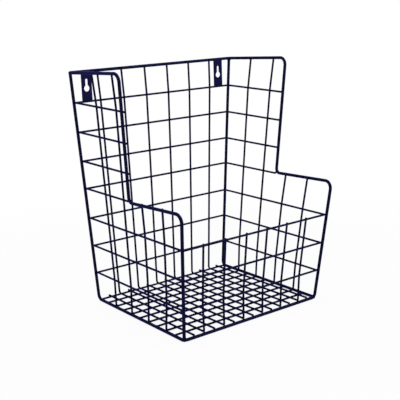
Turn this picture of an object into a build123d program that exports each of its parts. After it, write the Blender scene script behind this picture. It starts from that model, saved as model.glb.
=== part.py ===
from build123d import *
import os
from math import cos, radians, sqrt, tan

# Wall rack for files, welded from round wire.
# All lengths in millimetres. X runs along the wall, +Y goes into the wall, Z is up.
# The rack stands on its base at Z = 0 and its back is upright, so it hangs flat.

# ---- stock ----
rod_d = 4.5            # frame rod
wire_d = 2.8           # mesh wire
weld_sink = 0.01       # how far welded wires sink into each other
plate_sink = 0.003     # the same for the plates, which meet the wires along a line
side_gap = 0.05        # clearance between rods and wires that only lie side by side

# ---- overall form, measured between the rod centres ----
base_w = 264.0         # between the side frames at the base
base_d = 234.5         # from the back frame to the front frame at the base
frame_h = 368.0        # from the base rods up to the rim
side_splay = 4.0       # degrees, both sides open upwards
front_lean = 7.0       # degrees, the front opens forwards
step_h = 186.5         # height of the inner bend, where the stepped part of the rim begins
step_rise = 4.5        # the stepped part climbs this much towards the front
arm_rise = 6.0         # so do the arms
arm_top = 141.0        # depth of the side arms at the rim
arm_foot = 130.5       # depth of the side arms at the step

# ---- bends, radius at the centre of the wire ----
rim_rear_bend = 6.0    # the rim passes right over the rear posts
rim_arm_bend = 11.0
rim_inner_bend = 7.0
rim_step_bend = 11.0
rim_base_bend = 6.5
upright_bend = 7.5
mesh_bend = 4.0
corner_bend = 2.4
kink_bend = 20.0       # slight set of the wire ends out to the rim
level_falls = (2.4, 2.2, 1.2, 0.0)       # how far the level wires drop to their front ends

# ---- mesh ----
lower_row = 46.0       # spacing of the rows of the pocket
upper_row = 45.8       # spacing of the rows below the rim
rows = 3               # in the pocket, and as many below the rim
columns = 7            # across the back
base_edge = 38.25      # first back wire to the side frame at the base
top_edge = 47.7        # the same at the rim
front_edge = 48.46     # foremost side wire to the front frame at the base
side_wire_leans = (1.9, 3.4, 5.2, 6.4)   # degrees, from the back to the front
floor_fall = 1.4       # the floor falls this much from the front rod to the back
rim_lap = 1.2          # wire ends welded inside the rim stand this much over its centre

# ---- hanging plates ----
plate_w = 17.5
plate_t = 1.5
plate_edge = 28.233    # rim corner to the centre of a plate, for screws 259 mm apart
plate_rise = 1.8       # top edge over the centre of the rim
key_head_d = 10.0
key_slot_w = 4.6
key_head_drop = 25.8   # entry hole below the centre of the rim
key_seat_drop = 13.2   # where the screw rests, below the centre of the rim

# ---- derived places ----
rod_r = rod_d / 2
wire_r = wire_d / 2
touch_rod = rod_r + wire_r - weld_sink      # centre distance of a wire welded to a rod
touch_wire = wire_d - weld_sink             # centre distance of two welded wires
level_in = touch_rod                        # level wires inside the frame surface
rise_in = level_in + touch_wire             # rising wires, welded inside the level wires
post_in = level_in + corner_bend - (touch_rod + corner_bend) / sqrt(2)
rear_in = post_in + rod_r + wire_r + side_gap                # rear wire, in front of the rear posts
cross_z = rod_r - wire_r                    # floor wires at the front, from left to right
floor_z = cross_z + touch_wire              # and from back to front, laid over them
front_foot_in = post_in + 0.7               # front wires stand over the front rod
plate_x = base_w / 2 + frame_h * tan(radians(side_splay)) - plate_edge
side_count = len(side_wire_leans)
side_column = (base_d - level_in - front_edge) / side_count
rim_z = frame_h
step_top = step_h + step_rise               # stepped part of the rim at the front
lean_tan = tan(radians(front_lean))
lean_cos = cos(radians(front_lean))
overhang = (step_top - rim_step_bend) * lean_tan - (post_in + rim_step_bend) / lean_cos + rim_step_bend
back_place = (base_d + overhang) / 2        # back frame, so that the depth is centred on Y = 0


def half_width(z, inset):
    """Distance from the middle plane to a point inside the side frame."""
    return base_w / 2 + z * tan(radians(side_splay)) - inset / cos(radians(side_splay))


def back_y(inset):
    return back_place - inset


def front_y(z, inset):
    return back_place - base_d - z * lean_tan + inset / lean_cos


def fallen(z, depth):
    """Height of a floor wire at a depth from the back, from its height at the front rod."""
    return z - floor_fall * (1 - depth / (base_d - post_in))


def foot_in(z):
    """Inset of a side wire whose bend lies close round the base rod."""
    reach = rod_r + wire_r + side_gap + mesh_bend
    return post_in + sqrt(reach**2 - (z + mesh_bend) ** 2) - mesh_bend


def lifted(points):
    """Heights are counted from the base rods; the rack itself stands on Z = 0."""
    return [Vector(*p) + Vector(0, 0, rod_r) for p in points]


def bent_path(corners, bends):
    """Straight runs joined by arcs. Call inside BuildLine."""
    start = corners[0]
    for before, corner, after, bend in zip(corners, corners[1:], corners[2:], bends):
        to_before = (before - corner).normalized()
        to_after = (after - corner).normalized()
        opening = radians(to_before.get_angle(to_after))
        reach = bend / tan(opening / 2)
        bisector = (to_before + to_after).normalized()
        crown = corner + bisector * (sqrt(bend * bend + reach * reach) - bend)
        arc_start = corner + to_before * reach
        arc_end = corner + to_after * reach
        Line(start, arc_start)
        ThreePointArc(arc_start, crown, arc_end)
        start = arc_end
    Line(start, corners[-1])


def bent_wire(name, points, bends, radius):
    """One length of wire bent along the points and cut square at both ends."""
    with BuildPart() as wire:
        with BuildLine() as path:
            bent_path(lifted(points), bends)
        with BuildSketch(Plane(origin=path.line @ 0, z_dir=path.line % 0)):
            Circle(radius)
        sweep()
    wire.part.label = name
    export_step(wire.part, f"parts/{name}.step")


def closed_wire(name, points, bends, radius):
    """A wire bent to a closed loop; the seam lies in the middle of the first run."""
    corners = lifted(points)
    seam = (corners[0] + corners[-1]) * 0.5
    with BuildPart() as wire:
        with BuildLine() as path:
            bent_path([seam] + corners + [seam], bends)
        with BuildSketch(Plane(origin=path.line @ 0, z_dir=path.line % 0)):
            Circle(radius)
        sweep()
    wire.part.label = name
    export_step(wire.part, f"parts/{name}.step")


def rim():
    """The stepped rim: base front edge, front posts, steps, arms and back bar in one loop."""
    base_x = half_width(0, post_in)
    step_x = half_width(step_top, post_in)
    half = [
        (base_x, front_y(0, post_in), 0),
        (step_x, front_y(step_top, post_in), step_top),
        (half_width(step_h, 0), back_y(arm_foot), step_h),
        (half_width(rim_z + arm_rise, 0), back_y(arm_top), rim_z + arm_rise),
        (half_width(rim_z, 0), back_y(0), rim_z),
    ]
    bends = [rim_base_bend, rim_step_bend, rim_inner_bend, rim_arm_bend, rim_rear_bend]
    mirrored = [(-x, y, z) for x, y, z in reversed(half)]
    closed_wire("rim_rod", half + mirrored, bends + bends[::-1], rod_r)


def corner_rods():
    """Rear posts that turn forwards under the sides and end on the front rod."""
    top_z = rim_z - rod_r + weld_sink
    for name, side in (("left", -1), ("right", 1)):
        points = [
            (side * half_width(top_z, post_in), back_y(post_in), top_z),
            (side * half_width(0, post_in), back_y(post_in), 0),
            (side * half_width(0, post_in), front_y(0, post_in) + rod_r - weld_sink, 0),
        ]
        bent_wire(f"corner_rod_{name}", points, [upright_bend], rod_r)


def level_wires():
    """U-shaped wires round the back and both arms, one for each upper row."""
    for row in range(1, rows + 1):
        z = frame_h - row * upper_row
        fall = level_falls[row - 1]
        reach = arm_foot + (arm_top - arm_foot) * (z - fall - step_h) / (rim_z - step_h)
        arm_wire(f"level_wire_{row}", z, fall, reach)
    arm_wire(f"level_wire_{rows + 1}", step_h, level_falls[rows], arm_foot + wire_r)


def arm_wire(name, z, fall, reach):
    """Level wire whose ends are lapped on the inside of the arm edge."""
    half = [
        (half_width(z, level_in), back_y(level_in), z),
        (half_width(z - fall, level_in), back_y(reach), z - fall),
    ]
    mirrored = [(-x, y, z0) for x, y, z0 in reversed(half)]
    bent_wire(name, mirrored + half, [corner_bend] * 2, wire_r)


def pocket_rings():
    """Closed level wires of the pocket."""
    for row in range(1, rows + 1):
        z = row * lower_row
        ring(f"pocket_ring_{row}", z, level_in)


def ring(name, z, inset):
    x = half_width(z, inset)
    points = [
        (x, front_y(z, inset), z),
        (x, back_y(inset), z),
        (-x, back_y(inset), z),
        (-x, front_y(z, inset), z),
    ]
    closed_wire(name, points, [corner_bend] * 4, wire_r)


def column_x(place, z):
    """Distance from the middle plane, for a wire so many columns away from it."""
    base_column = 2 * (half_width(0, 0) - base_edge) / (columns - 2)
    top_column = 2 * (half_width(rim_z, 0) - top_edge) / (columns - 2)
    return place * (base_column + (top_column - base_column) * z / rim_z)


def back_wires():
    """Wires from the rim down the back, along the floor and up the front."""
    top_z = rim_z + rim_lap
    kink_z = frame_h - upper_row
    front_z = rows * lower_row + wire_r
    rear_z = fallen(floor_z, rise_in)
    foot_z = fallen(floor_z, base_d - front_foot_in)
    for column in range(columns - 1):
        place = column - (columns - 2) / 2
        points = [
            (column_x(place, top_z), back_y(touch_rod), top_z),
            (column_x(place, kink_z), back_y(rise_in), kink_z),
            (column_x(place, floor_z), back_y(rise_in), rear_z),
            (column_x(place, floor_z), front_y(foot_z, front_foot_in), foot_z),
            (column_x(place, lower_row), front_y(lower_row, rise_in), lower_row),
            (column_x(place, front_z), front_y(front_z, rise_in), front_z),
        ]
        bends = [kink_bend, mesh_bend, corner_bend, kink_bend]
        bent_wire(f"back_wire_{column + 1}", points, bends, wire_r)


def side_wires():
    """Wires from one side rim across the floor to the other."""
    for column in range(side_count):
        lean = tan(radians(side_wire_leans[column]))
        base_y = back_y(level_in + side_column * (column + 1))
        arm_depth = back_y(0) - base_y + lean * rim_z
        if arm_depth < arm_top:
            kink_z = frame_h - upper_row
            rim_in, over_z = arm_place(arm_depth)
        else:
            kink_z = rows * lower_row
            rim_in, over_z = step_place(back_y(0) - base_y + lean * step_h)
        top_z = over_z + rim_lap
        low_z = fallen(cross_z, back_y(0) - base_y)
        half = [
            (half_width(low_z, foot_in(low_z)), base_y - lean * low_z, low_z),
            (half_width(lower_row, rise_in), base_y - lean * lower_row, lower_row),
            (half_width(kink_z, rise_in), base_y - lean * kink_z, kink_z),
            (half_width(top_z, rim_in + touch_rod), base_y - lean * top_z, top_z),
        ]
        mirrored = [(-x, y, z) for x, y, z in reversed(half)]
        bends = [kink_bend, kink_bend, mesh_bend, mesh_bend, kink_bend, kink_bend]
        bent_wire(f"side_wire_{column + 1}", mirrored + half, bends, wire_r)


def arm_place(depth):
    """Inset and height of the arm rod at a depth from the back."""
    return 0, rim_z + arm_rise * depth / arm_top


def step_place(depth):
    """Inset and height of the stepped part of the rim at a depth from the back."""
    share = (depth - arm_foot) / (back_y(0) - front_y(step_h, post_in) - arm_foot)
    return post_in * share, step_h + step_rise * share


def straight_wire(name, start, end):
    """One length of mesh wire cut square at both ends."""
    start, end = lifted([start, end])
    with BuildPart() as wire:
        with BuildSketch(Plane(origin=start, z_dir=end - start)):
            Circle(wire_r)
        extrude(amount=(end - start).length)
    wire.part.label = name
    export_step(wire.part, f"parts/{name}.step")


def floor_wires():
    """Straight wires between the back wires, lying on the front rod and the rear wire."""
    for column in range(columns):
        x = column_x(column - (columns - 1) / 2, 0)
        rear = (x, back_y(rear_in - wire_r), fallen(floor_z, rear_in - wire_r))
        front = (x, front_y(0, post_in), floor_z)
        straight_wire(f"floor_wire_{column + 1}", rear, front)


def cross_wires():
    """Straight wires between the side wires, butted against the inside of the base rods."""
    x = half_width(0, post_in) - rod_r + weld_sink
    for column in range(side_count + 1):
        depth = level_in + side_column * (column + 0.5)
        z = fallen(cross_z, depth)
        straight_wire(f"cross_wire_{column + 1}", (-x, back_y(depth), z), (x, back_y(depth), z))


def rear_wire():
    """Straight wire between the bends of the rear posts; it carries the floor at the back."""
    ahead = rear_in + wire_r - post_in
    rod_z = upright_bend - sqrt(upright_bend**2 - (upright_bend - ahead) ** 2)
    x = half_width(rod_z, post_in) - rod_r + 4 * weld_sink
    z = fallen(cross_z, rear_in)
    straight_wire("rear_wire", (-x, back_y(rear_in), z), (x, back_y(rear_in), z))


def hanging_plates():
    """Sheet plates with a keyhole, welded inside the rim and on the first level wire."""
    inner_y = back_y(rod_r - plate_sink + plate_t)
    top = rim_z + plate_rise + rod_r
    foot = frame_h - upper_row + wire_r - plate_sink + rod_r
    head = rim_z - key_head_drop + rod_r
    seat = rim_z - key_seat_drop + rod_r
    for name, side in (("left", -1), ("right", 1)):
        with BuildPart() as plate:
            with BuildSketch(Plane.XZ.offset(-inner_y)):
                with Locations((side * plate_x, (top + foot) / 2)):
                    Rectangle(plate_w, top - foot)
                with Locations((side * plate_x, head)):
                    Circle(key_head_d / 2, mode=Mode.SUBTRACT)
                with Locations((side * plate_x, (head + seat) / 2)):
                    Rectangle(key_slot_w, seat - head, mode=Mode.SUBTRACT)
                with Locations((side * plate_x, seat)):
                    Circle(key_slot_w / 2, mode=Mode.SUBTRACT)
            extrude(amount=-plate_t)
        plate.part.label = f"hanging_plate_{name}"
        export_step(plate.part, f"parts/hanging_plate_{name}.step")


os.makedirs("parts", exist_ok=True)
rim()
corner_rods()
level_wires()
pocket_rings()
back_wires()
side_wires()
floor_wires()
cross_wires()
rear_wire()
hanging_plates()
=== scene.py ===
import math
import random

import bpy
from mathutils import Matrix, Vector


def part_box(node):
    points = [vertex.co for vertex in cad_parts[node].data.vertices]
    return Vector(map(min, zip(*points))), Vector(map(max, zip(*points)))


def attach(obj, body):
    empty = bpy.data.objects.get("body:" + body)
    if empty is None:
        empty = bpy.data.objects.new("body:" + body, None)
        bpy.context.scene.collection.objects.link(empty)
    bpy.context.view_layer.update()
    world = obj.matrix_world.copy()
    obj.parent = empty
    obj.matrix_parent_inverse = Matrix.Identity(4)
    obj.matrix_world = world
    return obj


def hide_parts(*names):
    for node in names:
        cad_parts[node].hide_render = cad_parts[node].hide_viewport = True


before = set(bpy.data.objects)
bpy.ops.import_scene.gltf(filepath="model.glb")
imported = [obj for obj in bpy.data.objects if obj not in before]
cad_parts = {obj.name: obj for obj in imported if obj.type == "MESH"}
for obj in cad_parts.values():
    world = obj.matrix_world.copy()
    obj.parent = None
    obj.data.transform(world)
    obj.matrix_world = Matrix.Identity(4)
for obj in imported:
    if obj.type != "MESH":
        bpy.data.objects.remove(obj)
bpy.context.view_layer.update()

# ---------------------------------------------------------------------------
# Sizes of the rack, in metres. Heights are counted from the centre of the base rods.
# An inset is a distance inwards, square to the side, back or front frame.
# ---------------------------------------------------------------------------
ROD = 0.00225            # radius of the frame rods
WIRE = 0.0014            # radius of the mesh wires
SINK = 0.00001           # how far welded wires sink into each other
WIRE_COAT = 0.0002       # thickness of the baked powder on round wire
SHEET_COAT = 0.0001      # and on the plates
SPLAY = math.radians(4.0)    # the side frames lean outwards
LEAN = math.radians(7.0)     # the pocket front leans forwards
BASE_HALF = 0.132        # middle plane to a side frame at the base
BASE_DEEP = 0.2345       # back frame to front frame at the base
BACK_Y = 0.127368        # centre of the back frame
RIM_Z = 0.368            # height of the back bar
STEP_Z = 0.1865          # height of the steps where they leave the arms
ARM_TOP = 0.141          # depth of the arms at the rim
ARM_FOOT = 0.1305        # depth of the arms at the step
ARM_RISE = 0.006         # rise of the rim from the back bar to the front of an arm
STEP_RISE = 0.0045       # rise of a step from the arm to the front post
LOWER_ROW = 0.046        # spacing of the pocket rings
UPPER_ROW = 0.0458       # spacing of the level wires
MESH_BEND = 0.004        # bend of the side wires under the floor, at the wire's centre
CORNER_BEND = 0.0024     # bend of the level wires inside the posts
POST_BEND = 0.0075       # bend of the corner rods at the floor
FLOOR_FALL = 0.0014      # the floor falls this much from the front rod to the back
SIDE_COLUMN = 0.0456     # spacing of the side wires
BASE_COLUMN = 0.0375     # spacing of the back wires at the base
TOP_COLUMN = 0.044013    # and at the rim
LEVEL_FALLS = (0.0024, 0.0022, 0.0012, 0.0)    # each level wire falls so much along the arms
SIDE_LEANS = (1.9, 3.4, 5.2, 6.4)    # degrees that each side wire leans forwards

TOUCH_ROD = ROD + WIRE - SINK            # centre to centre, where a wire is welded to a rod
TOUCH_WIRE = 2 * WIRE - SINK             # and where two wires are welded
LEVEL_IN = TOUCH_ROD                     # level wires inside the frame
BETWEEN = LEVEL_IN + TOUCH_WIRE / 2      # where the rising wires touch the level wires
POST_IN = LEVEL_IN + CORNER_BEND - (TOUCH_ROD + CORNER_BEND) / math.sqrt(2)
POST_TOUCH_IN = POST_IN + (ROD + SINK) / math.sqrt(2)    # where a level wire touches a post
CROSS_Z = ROD - WIRE                     # floor wires from left to right, at the front
REAR_GAP = 0.00005                       # between the rearmost floor wire and the posts
REAR_IN = POST_IN + ROD + WIRE + REAR_GAP

RING_HEIGHTS = [LOWER_ROW * row for row in (1, 2, 3)]
LEVEL_HEIGHTS = [RIM_Z - UPPER_ROW * row for row in (1, 2, 3)] + [STEP_Z]
BACK_STEPS = [step - 2.5 for step in range(6)]     # the back wires, in columns from the middle
FLOOR_STEPS = [step - 3.0 for step in range(7)]    # the floor wires between them
ARM_WIRES = 2            # side wires that rise to the arms; the others end at the steps
CROSS_WIRES = 5          # straight wires of the floor from left to right


def half_width(z, inset):
    """Distance from the middle plane to a point inside a side frame."""
    return BASE_HALF + z * math.tan(SPLAY) - inset / math.cos(SPLAY)


def back_y(inset):
    """A place in front of the back frame."""
    return BACK_Y - inset


def front_y(z, inset):
    """A place behind the leaning front frame."""
    return BACK_Y - BASE_DEEP - z * math.tan(LEAN) + inset / math.cos(LEAN)


def column_x(steps, z):
    """A wire of the back so many columns away from the middle."""
    return steps * (BASE_COLUMN + (TOP_COLUMN - BASE_COLUMN) * z / RIM_Z)


def side_y(column, z):
    """A rising wire of the sides."""
    return back_y(LEVEL_IN + SIDE_COLUMN * (column + 1)) - z * math.tan(math.radians(SIDE_LEANS[column]))


def arm_depth(z):
    """Depth of an arm's front leg."""
    return ARM_FOOT + (ARM_TOP - ARM_FOOT) * (z - STEP_Z) / (RIM_Z - STEP_Z)


def fallen(z, depth):
    """Height of a floor wire at a depth from the back, from its height at the front rod."""
    return z - FLOOR_FALL * (1 - depth / (BASE_DEEP - POST_IN))


# ---------------------------------------------------------------------------
# Finishes
# ---------------------------------------------------------------------------
MIX_FACTOR, MIX_LOW, MIX_HIGH, MIX_RESULT = 0, 6, 7, 2    # colour sockets of a Mix node


class Value:
    """A number that changes over a surface."""

    def __init__(self, shading, socket):
        self.shading = shading
        self.socket = socket

    def maths(self, operation, other):
        return self.shading.node("ShaderNodeMath", {"operation": operation}, [self, other])

    def __add__(self, other):
        return self.maths("ADD", other)

    __radd__ = __add__

    def __mul__(self, other):
        return self.maths("MULTIPLY", other)

    __rmul__ = __mul__

    def ramp(self, low, high):
        """0 at low, 1 at high, smooth between."""
        settings = {"interpolation_type": "SMOOTHSTEP"}
        return self.shading.node("ShaderNodeMapRange", settings, [self, low, high, 0.0, 1.0])


class Shading:
    """The nodes of one material, or of the world."""

    def __init__(self, owner):
        owner.use_nodes = True
        self.owner = owner
        self.tree = owner.node_tree
        self.tree.nodes.clear()

    def node(self, kind, settings=None, inputs=(), output=0):
        """Adds a node; inputs are given by place in a list, or by name in a dict."""
        made = self.tree.nodes.new(kind)
        for name, setting in (settings or {}).items():
            setattr(made, name, setting)
        sockets = inputs.items() if isinstance(inputs, dict) else enumerate(inputs)
        for socket, given in sockets:
            if isinstance(given, Value):
                self.tree.links.new(given.socket, made.inputs[socket])
            else:
                made.inputs[socket].default_value = given
        return Value(self, made.outputs[output]) if made.outputs else None

    def place(self):
        """Where a point lies on the rack."""
        return self.node("ShaderNodeTexCoord", output="Object")

    def noise(self, scale, detail, roughness):
        inputs = {"Vector": self.place(), "Scale": scale, "Detail": detail, "Roughness": roughness}
        return self.node("ShaderNodeTexNoise", None, inputs)

    def blend(self, mask, low, high):
        """A colour between two colours."""
        inputs = {MIX_FACTOR: mask, MIX_LOW: low, MIX_HIGH: high}
        return self.node("ShaderNodeMix", {"data_type": "RGBA"}, inputs, output=MIX_RESULT)


NAVY = (0.0057, 0.0070, 0.036, 1.0)
NAVY_PALE = (0.0069, 0.0084, 0.043, 1.0)
# The same navy powder made darker for the rods and wires: painted shade, as if they caught less light
# than the flat plates
NAVY_SHADED = (0.0039, 0.0046, 0.0205, 1.0)
NAVY_SHADED_PALE = (0.0050, 0.0060, 0.028, 1.0)
SHEEN_TINT = (0.3, 0.35, 1.0, 1.0)
SHEEN = 0.08             # strength of the tinted reflection
METAL = 0.7              # how metallic the coat looks
MOTTLE_SCALE = 38.0      # mottled patches to a metre, roughly
MOTTLE_RANGE = (0.3, 0.72)
FLOW_SCALE = 520.0       # waves of the orange peel to a metre
GRAIN_SCALE = 2600.0     # and its grain
MOTTLE_DULL = 0.07       # roughness that the mottling adds
GRAIN_DULL = 0.05        # and the grain
FLOW_SHARE = 0.7         # of the orange peel's height; the rest is grain
PEEL_STRENGTH = 0.35
PEEL_HEIGHT = 0.00005


def powder_coat(name, navy, pale, gloss):
    """Baked powder on steel: fine orange peel, a little mottling, and a blue metallic sheen."""
    coat = Shading(bpy.data.materials.new(name))
    mottle = coat.noise(MOTTLE_SCALE, detail=3.0, roughness=0.6).ramp(*MOTTLE_RANGE)
    flow = coat.noise(FLOW_SCALE, detail=2.0, roughness=0.45)
    grain = coat.noise(GRAIN_SCALE, detail=2.0, roughness=0.5)
    peel = flow * FLOW_SHARE + grain * (1 - FLOW_SHARE)
    relief = {"Strength": PEEL_STRENGTH, "Distance": PEEL_HEIGHT, "Height": peel}
    surface = {
        "Base Color": coat.blend(mottle, navy, pale),
        "Roughness": gloss + MOTTLE_DULL * mottle + GRAIN_DULL * grain,
        "Metallic": METAL,
        "IOR": 1.5,
        "Specular IOR Level": SHEEN,
        "Specular Tint": SHEEN_TINT,
        "Normal": coat.node("ShaderNodeBump", None, relief),
    }
    shader = coat.node("ShaderNodeBsdfPrincipled", None, surface)
    coat.node("ShaderNodeOutputMaterial", None, [shader])
    return coat.owner


# rods and wires take the darker navy, which is painted shade; the plates take the powder's own navy
rod_coat = powder_coat("rod_powder_coat", NAVY_SHADED, NAVY_SHADED_PALE, gloss=0.36)
wire_coat = powder_coat("wire_powder_coat", NAVY_SHADED, NAVY_SHADED_PALE, gloss=0.38)
plate_coat = powder_coat("plate_powder_coat", NAVY, NAVY_PALE, gloss=0.4)


# ---------------------------------------------------------------------------
# The frame, the mesh and the plates
# ---------------------------------------------------------------------------
ROD_EDGE = 0.0005        # rounding of the cut ends under the powder
WIRE_EDGE = 0.00035
SHEET_EDGE = 0.00025     # and of the plates' edges
MERGE = 0.000002         # corners of the steel's mesh this close are one
FLAT = math.radians(1.0)     # faces of a plate that turn less than this are one
CUT = math.radians(50.0)     # an edge that turns more than this is a cut edge
ROUND = math.radians(40.0)   # faces that turn less than this are shaded as one round


def only(piece):
    """Leaves just this piece selected and active."""
    if bpy.context.mode != "OBJECT":
        bpy.ops.object.mode_set(mode="OBJECT")
    bpy.ops.object.select_all(action="DESELECT")
    piece.select_set(True)
    bpy.context.view_layer.objects.active = piece


def coated_copy(node, edge, coat):
    """The steel of a node under its coat: closed skin, and cut edges rounded over by the powder."""
    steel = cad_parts[node]
    piece = steel.copy()
    piece.data = steel.data.copy()
    piece.name = node + "_coated"
    piece.data.name = piece.name
    bpy.context.scene.collection.objects.link(piece)
    only(piece)
    bpy.ops.mesh.customdata_custom_splitnormals_clear()
    bpy.ops.object.mode_set(mode="EDIT")
    bpy.ops.mesh.select_mode(type="EDGE")
    bpy.ops.mesh.select_all(action="SELECT")
    bpy.ops.mesh.remove_doubles(threshold=MERGE)
    if node.startswith("hanging_plate"):
        bpy.ops.mesh.dissolve_limited(angle_limit=FLAT)
    bpy.ops.mesh.select_all(action="DESELECT")
    bpy.ops.mesh.edges_select_sharp(sharpness=CUT)
    bpy.ops.mesh.bevel(offset=edge, segments=3, profile=0.5, clamp_overlap=True)
    bpy.ops.mesh.select_all(action="SELECT")
    bpy.ops.transform.shrink_fatten(value=coat)
    bpy.ops.object.mode_set(mode="OBJECT")
    bpy.ops.object.shade_smooth_by_angle(angle=ROUND)
    evened = piece.modifiers.new("even_shading", "WEIGHTED_NORMAL")
    evened.keep_sharp = True
    bpy.ops.object.modifier_apply(modifier=evened.name)
    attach(piece, "root")
    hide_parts(node)
    return piece


for node in sorted(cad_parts):
    if node.startswith("hanging_plate"):
        edge, thickness, slot, finish = SHEET_EDGE, SHEET_COAT, "plate_coat", plate_coat
    elif node.startswith(("rim", "corner_rod")):
        edge, thickness, slot, finish = ROD_EDGE, WIRE_COAT, "rod_coat", rod_coat
    else:
        edge, thickness, slot, finish = WIRE_EDGE, WIRE_COAT, "wire_coat", wire_coat
    piece = coated_copy(node, edge, thickness)
    for material_slot in piece.material_slots:
        material_slot.material = finish


# ---------------------------------------------------------------------------
# Welds. Each one is a drop of metal squeezed out where two wires were pressed together.
# Its shape is half its width, half its thickness and half its length.
# ---------------------------------------------------------------------------
SPOT = (0.00172, 0.0008, 0.00172)        # where a mesh wire crosses another, or a rod
BUTT = (0.00168, 0.0016, 0.00168)        # round a wire's end on a base rod
FLOOR_END = (0.0015, 0.0009, 0.0015)     # at a floor wire's front end
FRONT_FOOT = (0.00158, 0.0013, 0.00158)  # where a back wire turns up at the front bar
BEND_END = (0.0016, 0.0016, 0.0024)      # from the lowest level wire to the rim's inner bend
POST_HEAD = (0.0027, 0.0023, 0.0034)     # round a post's head, under the rim
FRONT_CORNER = (0.002, 0.0017, 0.0027)   # between a side base rod and the front bar
PLATE_TOP = (0.0013, 0.00065, 0.0026)    # a plate on the rim
PLATE_FOOT = (0.0013, 0.0006, 0.0022)    # a plate on the first level wire

ARM_END_BACK = 0.0006    # a level wire's weld, behind the centre of the arm's front leg
BEND_END_UP = 0.0011     # the weld at the inner bend, up from the step's corner
BEND_END_IN = 0.0026     # inwards from it
BEND_END_OUT = 0.0017    # and forwards from it
BEND_END_LEAD = 0.33     # it runs forwards by this share of its run outwards
BEND_END_RISE = 0.43     # and upwards by this
FLOOR_END_BACK = 0.0009  # a floor wire's end weld, behind the centre of the front bar
FRONT_FOOT_BACK = 0.0004     # the weld of a back wire at the front bar, behind its centre
FRONT_FOOT_Z = 0.0024        # and above it
FRONT_FOOT_FACING = (0, 0.18, 0.98)
POST_HEAD_DOWN = 0.0021  # below the rim's centre
DRESSED_BACK = 0.0028    # middle of a side base rod's round end, behind the front bar's centre
DRESSED_LONG = 0.0032    # half the length of that round end
CORNER_IN = 0.0014       # the front corner's weld, inwards from the side base rod
CORNER_BACK = 0.0002     # behind the front bar's centre
CORNER_DOWN = 0.0005     # and below it
PLATE_TOP_UP = 0.0004    # above the rim's centre

BELLY = (0.3, 0.7)       # heights between which a drop is fuller than a ball
BELLY_GROWN = 1.08       # and by how much
SIZE_SPREAD = 0.08       # no two welds are quite the same size
THICK_SPREAD = 0.1       # or pressed equally flat

FRONT_FACING = (0, math.cos(LEAN), math.sin(LEAN))
BASE_UP = Vector((0.0, 0.0, ROD))        # from the floor to the centre of the base rods


def weld_drop():
    """A rounded drop of unit radius with a full belly, to be flattened along Z between the wires."""
    bpy.ops.object.select_all(action="DESELECT")
    bpy.ops.mesh.primitive_uv_sphere_add(segments=12, ring_count=6, radius=1.0, location=(0.0, 0.0, 0.0))
    drop = bpy.context.object
    drop.name = "weld_drop"
    only(drop)
    bpy.ops.object.mode_set(mode="EDIT")
    bpy.ops.mesh.select_mode(type="VERT")
    bpy.ops.mesh.select_all(action="DESELECT")
    bpy.ops.object.mode_set(mode="OBJECT")
    for corner in drop.data.vertices:
        corner.select = BELLY[0] < abs(corner.co.z) < BELLY[1]
    bpy.ops.object.mode_set(mode="EDIT")
    bpy.ops.transform.resize(value=(BELLY_GROWN, BELLY_GROWN, 1.0))
    bpy.ops.object.mode_set(mode="OBJECT")
    bpy.ops.object.shade_smooth()
    return drop


drop = weld_drop()
chance = random.Random(7)
groups = {}


def weld(group, point, facing, shape, along=None):
    """Sets one weld. It lies square to facing; a long one is drawn out along a direction."""
    across, thick, length = shape
    z_axis = Vector(facing).normalized()
    x_axis = Vector(along) if along else z_axis.orthogonal()
    x_axis = (x_axis - z_axis * x_axis.dot(z_axis)).normalized()
    turn = Matrix((x_axis, z_axis.cross(x_axis), z_axis)).transposed().to_4x4()
    if not along:
        turn = turn @ Matrix.Rotation(chance.uniform(0.0, math.pi), 4, "Z")
    grown = chance.uniform(1 - SIZE_SPREAD, 1 + SIZE_SPREAD)
    pressed = chance.uniform(1 - THICK_SPREAD, 1 + THICK_SPREAD)
    size = Matrix.Diagonal((length * grown, across * grown, thick * pressed, 1.0))
    copy = drop.copy()
    copy.data = drop.data.copy()
    bpy.context.scene.collection.objects.link(copy)
    copy.matrix_world = Matrix.Translation(Vector(point) + BASE_UP) @ turn @ size
    groups.setdefault(group, []).append(copy)


def dressed_end(point):
    """Weld metal dressed to a round end on a rod that runs from front to back."""
    bpy.ops.object.select_all(action="DESELECT")
    across = ROD + WIRE_COAT - SINK
    size = (across, DRESSED_LONG, across)
    centre = Vector(point) + BASE_UP
    bpy.ops.mesh.primitive_uv_sphere_add(segments=24, ring_count=12, location=centre, scale=size)
    bpy.ops.object.shade_smooth()
    groups.setdefault("welds_frame", []).append(bpy.context.object)


def rising_top(column):
    """Height of a side wire's weld on the rim, and how far in the rim stands there."""
    if column < ARM_WIRES:
        depth = BACK_Y - side_y(column, RIM_Z)
        return RIM_Z + ARM_RISE * depth / ARM_TOP, 0.0
    depth = BACK_Y - side_y(column, STEP_Z)
    share = (depth - ARM_FOOT) / (BACK_Y - front_y(STEP_Z, POST_IN) - ARM_FOOT)
    return STEP_Z + STEP_RISE * share, POST_IN * share


def floor_row(y, z):
    """Welds of one left to right wire with all the wires that lie over it."""
    for steps in BACK_STEPS + FLOOR_STEPS:
        weld("welds_floor", (column_x(steps, z), y, z + TOUCH_WIRE / 2), (0, 0, 1), SPOT)


# back and pocket front
for steps in BACK_STEPS:
    for z in LEVEL_HEIGHTS + RING_HEIGHTS:
        weld("welds_back", (column_x(steps, z), back_y(BETWEEN), z), (0, 1, 0), SPOT)
    weld("welds_rim", (column_x(steps, RIM_Z), back_y(ROD), RIM_Z), (0, 1, 0), SPOT)
    for z in RING_HEIGHTS:
        weld("welds_front", (column_x(steps, z), front_y(z, BETWEEN), z), FRONT_FACING, SPOT)

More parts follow.
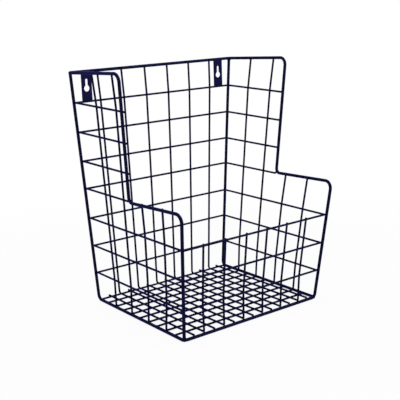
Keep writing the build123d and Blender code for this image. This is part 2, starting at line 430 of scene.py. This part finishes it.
# sides
for side, group in ((-1, "welds_left"), (1, "welds_right")):
    facing = (side * math.cos(SPLAY), 0, -math.sin(SPLAY))
    for column in range(len(SIDE_LEANS)):
        heights = list(RING_HEIGHTS)
        if column < ARM_WIRES:
            for z, fall in zip(LEVEL_HEIGHTS, LEVEL_FALLS):
                depth = BACK_Y - side_y(column, z)
                heights.append(z - fall * depth / ARM_TOP)
        for z in heights:
            weld(group, (side * half_width(z, BETWEEN), side_y(column, z), z), facing, SPOT)
        z, inset = rising_top(column)
        weld("welds_rim", (side * half_width(z, inset + ROD), side_y(column, z), z), facing, SPOT)
    # ends of the upper level wires on the arms
    for top, fall in zip(LEVEL_HEIGHTS[:-1], LEVEL_FALLS):
        z = top - fall
        y = back_y(arm_depth(z) - ARM_END_BACK)
        weld(group, (side * half_width(z, ROD), y, z), facing, SPOT)
    # the lowest one stops short of the inner bend of the rim, and its weld fills the gap
    z = STEP_Z + BEND_END_UP
    point = (side * half_width(z, BEND_END_IN), back_y(ARM_FOOT + BEND_END_OUT), z)
    outwards = (side, -BEND_END_LEAD, BEND_END_RISE)
    weld(group, point, (-BEND_END_RISE * side, 0, 1), BEND_END, along=outwards)
    # corners, where the level wires bend round inside the posts
    for z in LEVEL_HEIGHTS + RING_HEIGHTS:
        x = side * half_width(z, POST_TOUCH_IN)
        weld("welds_back", (x, back_y(POST_TOUCH_IN), z), (side, 1, 0), SPOT)
    for z in RING_HEIGHTS:
        x = side * half_width(z, POST_TOUCH_IN)
        weld("welds_front", (x, front_y(z, POST_TOUCH_IN), z), (side, -1, 0), SPOT)

# floor, where the side wires pass under it
for column in range(len(SIDE_LEANS)):
    y = side_y(column, CROSS_Z)
    z = fallen(CROSS_Z, BACK_Y - y)
    floor_row(y, z)
    for side in (-1, 1):
        # feet of the side wires, close round the base rods
        bend_z = z + MESH_BEND
        bend_x = math.sqrt((TOUCH_ROD + MESH_BEND) ** 2 - bend_z**2)
        share = ROD / math.hypot(bend_x, bend_z)
        x = half_width(0, POST_IN) - bend_x * share
        weld("welds_floor", (side * x, y, bend_z * share), (-side * bend_x, 0, bend_z), SPOT)

# floor, where the cross wires lie between them
for row in range(CROSS_WIRES):
    y = back_y(LEVEL_IN + SIDE_COLUMN * (row + 0.5))
    z = fallen(CROSS_Z, BACK_Y - y)
    floor_row(y, z)
    for side in (-1, 1):
        weld("welds_floor", (side * (half_width(0, POST_IN) - ROD), y, z), (1, 0, 0), BUTT)

# floor, along the rearmost wire and the front bar
front_bar = front_y(0, POST_IN)
rear_y = back_y(REAR_IN)
rear_z = fallen(CROSS_Z, REAR_IN)
for steps in FLOOR_STEPS:
    x = column_x(steps, 0)
    weld("welds_floor", (x, rear_y, rear_z + TOUCH_WIRE / 2), (0, 0, 1), SPOT)
    weld("welds_floor", (x, front_bar + FLOOR_END_BACK, ROD), (0, 0, 1), FLOOR_END)
for steps in BACK_STEPS:
    point = (column_x(steps, 0), front_bar + FRONT_FOOT_BACK, FRONT_FOOT_Z)
    weld("welds_floor", point, FRONT_FOOT_FACING, FRONT_FOOT)

# rods
foot_x = half_width(0, POST_IN)
for side in (-1, 1):
    post_x = half_width(RIM_Z - ROD, POST_IN)
    point = (side * post_x, back_y(POST_IN), RIM_Z - POST_HEAD_DOWN)
    weld("welds_frame", point, (0, 0, 1), POST_HEAD, along=(1, -side, 0))
    dressed_end((side * foot_x, front_bar + DRESSED_BACK, 0))
    point = (side * (foot_x - CORNER_IN), front_bar + CORNER_BACK, -CORNER_DOWN)
    weld("welds_frame", point, (0, 0, 1), FRONT_CORNER, along=(1, 0, 0))
    # the rearmost floor wire, butted on the corner rods in their bends
    bend_z = POST_BEND - math.sqrt(POST_BEND**2 - (POST_BEND - REAR_IN + POST_IN) ** 2)
    rear_x = half_width(bend_z, POST_IN) - ROD
    weld("welds_floor", (side * rear_x, rear_y, rear_z), (1, 0, 0), BUTT)

# plates, on the rim and on the first level wire
for node in ("hanging_plate_left", "hanging_plate_right"):
    low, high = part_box(node)
    for share in (0.2, 0.8):
        x = low[0] + (high[0] - low[0]) * share
        point = (x, back_y(ROD), RIM_Z + PLATE_TOP_UP)
        weld("welds_frame", point, (0, 1, 0), PLATE_TOP, along=(1, 0, 0))
        point = (x, back_y(LEVEL_IN), LEVEL_HEIGHTS[0] + WIRE)
        weld("welds_back", point, (0, 0, 1), PLATE_FOOT, along=(1, 0, 0))

for group, spots in sorted(groups.items()):
    bpy.ops.object.select_all(action="DESELECT")
    for spot in spots:
        spot.select_set(True)
    bpy.context.view_layer.objects.active = spots[0]
    bpy.ops.object.join()
    joined = bpy.context.object
    joined.name = group
    joined.data.name = group
    bpy.ops.object.transform_apply(location=True, rotation=True, scale=True)
    bpy.ops.object.mode_set(mode="EDIT")
    bpy.ops.mesh.select_all(action="SELECT")
    bpy.ops.mesh.normals_make_consistent(inside=False)
    bpy.ops.object.mode_set(mode="OBJECT")
    on_rods = group == "welds_frame"
    joined.data.materials.append(rod_coat if on_rods else wire_coat)
    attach(joined, "root")
bpy.data.objects.remove(drop)


# ---------------------------------------------------------------------------
# Floor, light and camera
# ---------------------------------------------------------------------------
WHITE = (1.0, 1.0, 1.0, 1.0)
PALE = (0.95, 0.95, 0.95, 1.0)
FLOOR_SIZE = 16.0
FLOOR_WHITE = 0.92       # share of plain white under the rack; the rest shows the shadow
SHADOW_EDGE = (0.3, 0.95)    # the shadow fades out between these distances from the middle
STUDIO_LIGHT = 0.4       # strength of the light from all around


def seen(shading):
    """1 where the camera, a reflection or a clear piece looks straight at it."""
    rays = ("Is Camera Ray", "Is Glossy Ray", "Is Transmission Ray")
    camera_ray, glossy_ray, clear_ray = (shading.node("ShaderNodeLightPath", output=ray) for ray in rays)
    return camera_ray.maths("MAXIMUM", glossy_ray).maths("MAXIMUM", clear_ray)


def white_floor():
    """Pale floor that keeps a faint shadow near the rack and runs out to plain white."""
    cloth = Shading(bpy.data.materials.new("studio_floor"))
    away = cloth.node("ShaderNodeVectorMath", {"operation": "LENGTH"}, [cloth.place()], output="Value")
    share = seen(cloth) * (FLOOR_WHITE + (1 - FLOOR_WHITE) * away.ramp(*SHADOW_EDGE))
    matt = cloth.node("ShaderNodeBsdfDiffuse", None, {"Color": PALE})
    white = cloth.node("ShaderNodeEmission", None, {"Color": WHITE, "Strength": 1.0})
    mixed = cloth.node("ShaderNodeMixShader", None, [share, matt, white])
    cloth.node("ShaderNodeOutputMaterial", None, [mixed])
    return cloth.owner


def studio_world():
    """Even white light from all around, which looks plain white where it is seen."""
    around = Shading(bpy.data.worlds.new("studio"))
    dim = around.node("ShaderNodeBackground", None, {"Color": WHITE, "Strength": STUDIO_LIGHT})
    bright = around.node("ShaderNodeBackground", None, {"Color": WHITE, "Strength": 1.0})
    mixed = around.node("ShaderNodeMixShader", None, [seen(around), dim, bright])
    around.node("ShaderNodeOutputWorld", None, [mixed])
    return around.owner


def softbox(name, place, target, width, height, power):
    """A plain rectangular lamp aimed at a point."""
    bpy.ops.object.light_add(type="AREA", location=place)
    lamp = bpy.context.object
    lamp.name = name
    lamp.data.shape = "RECTANGLE"
    lamp.data.size = width
    lamp.data.size_y = height
    lamp.data.energy = power
    aim = Vector(target) - Vector(place)
    lamp.rotation_euler = aim.to_track_quat("-Z", "Y").to_euler()


bpy.ops.object.select_all(action="DESELECT")
bpy.ops.mesh.primitive_plane_add(size=FLOOR_SIZE, location=(0.0, 0.0, -WIRE_COAT))
floor = bpy.context.object
floor.name = "floor"
floor.data.materials.append(white_floor())
bpy.context.scene.world = studio_world()

middle = (0.0, 0.0, 0.2)
softbox("key_softbox", (1.1, -1.2, 1.0), middle, width=0.7, height=0.7, power=10.0)
softbox("top_softbox", (-0.1, 0.2, 1.5), (0.0, 0.0, 0.1), width=1.0, height=1.0, power=7.0)
softbox("left_softbox", (-1.4, -0.2, 0.8), middle, width=0.6, height=0.9, power=3.0)

# The camera stands to the left of the rack and looks slightly down on it.
CAMERA_PLACE = (-0.782581, -1.005194, 0.478407)
YAW = 0.65331
PITCH = 0.23955
ROLL = -0.032898
FILM_WIDTH = 36.0        # millimetres, like the lens
LENS = 75.614
bpy.ops.object.camera_add()
camera = bpy.context.object
camera.matrix_world = (
    Matrix.Translation(CAMERA_PLACE)
    @ Matrix.Rotation(-YAW, 4, "Z")
    @ Matrix.Rotation(math.pi / 2 - PITCH, 4, "X")
    @ Matrix.Rotation(ROLL, 4, "Z")
)
camera.data.sensor_width = FILM_WIDTH
camera.data.lens = LENS
bpy.context.scene.camera = camera

bpy.context.scene.view_settings.view_transform = "Standard"
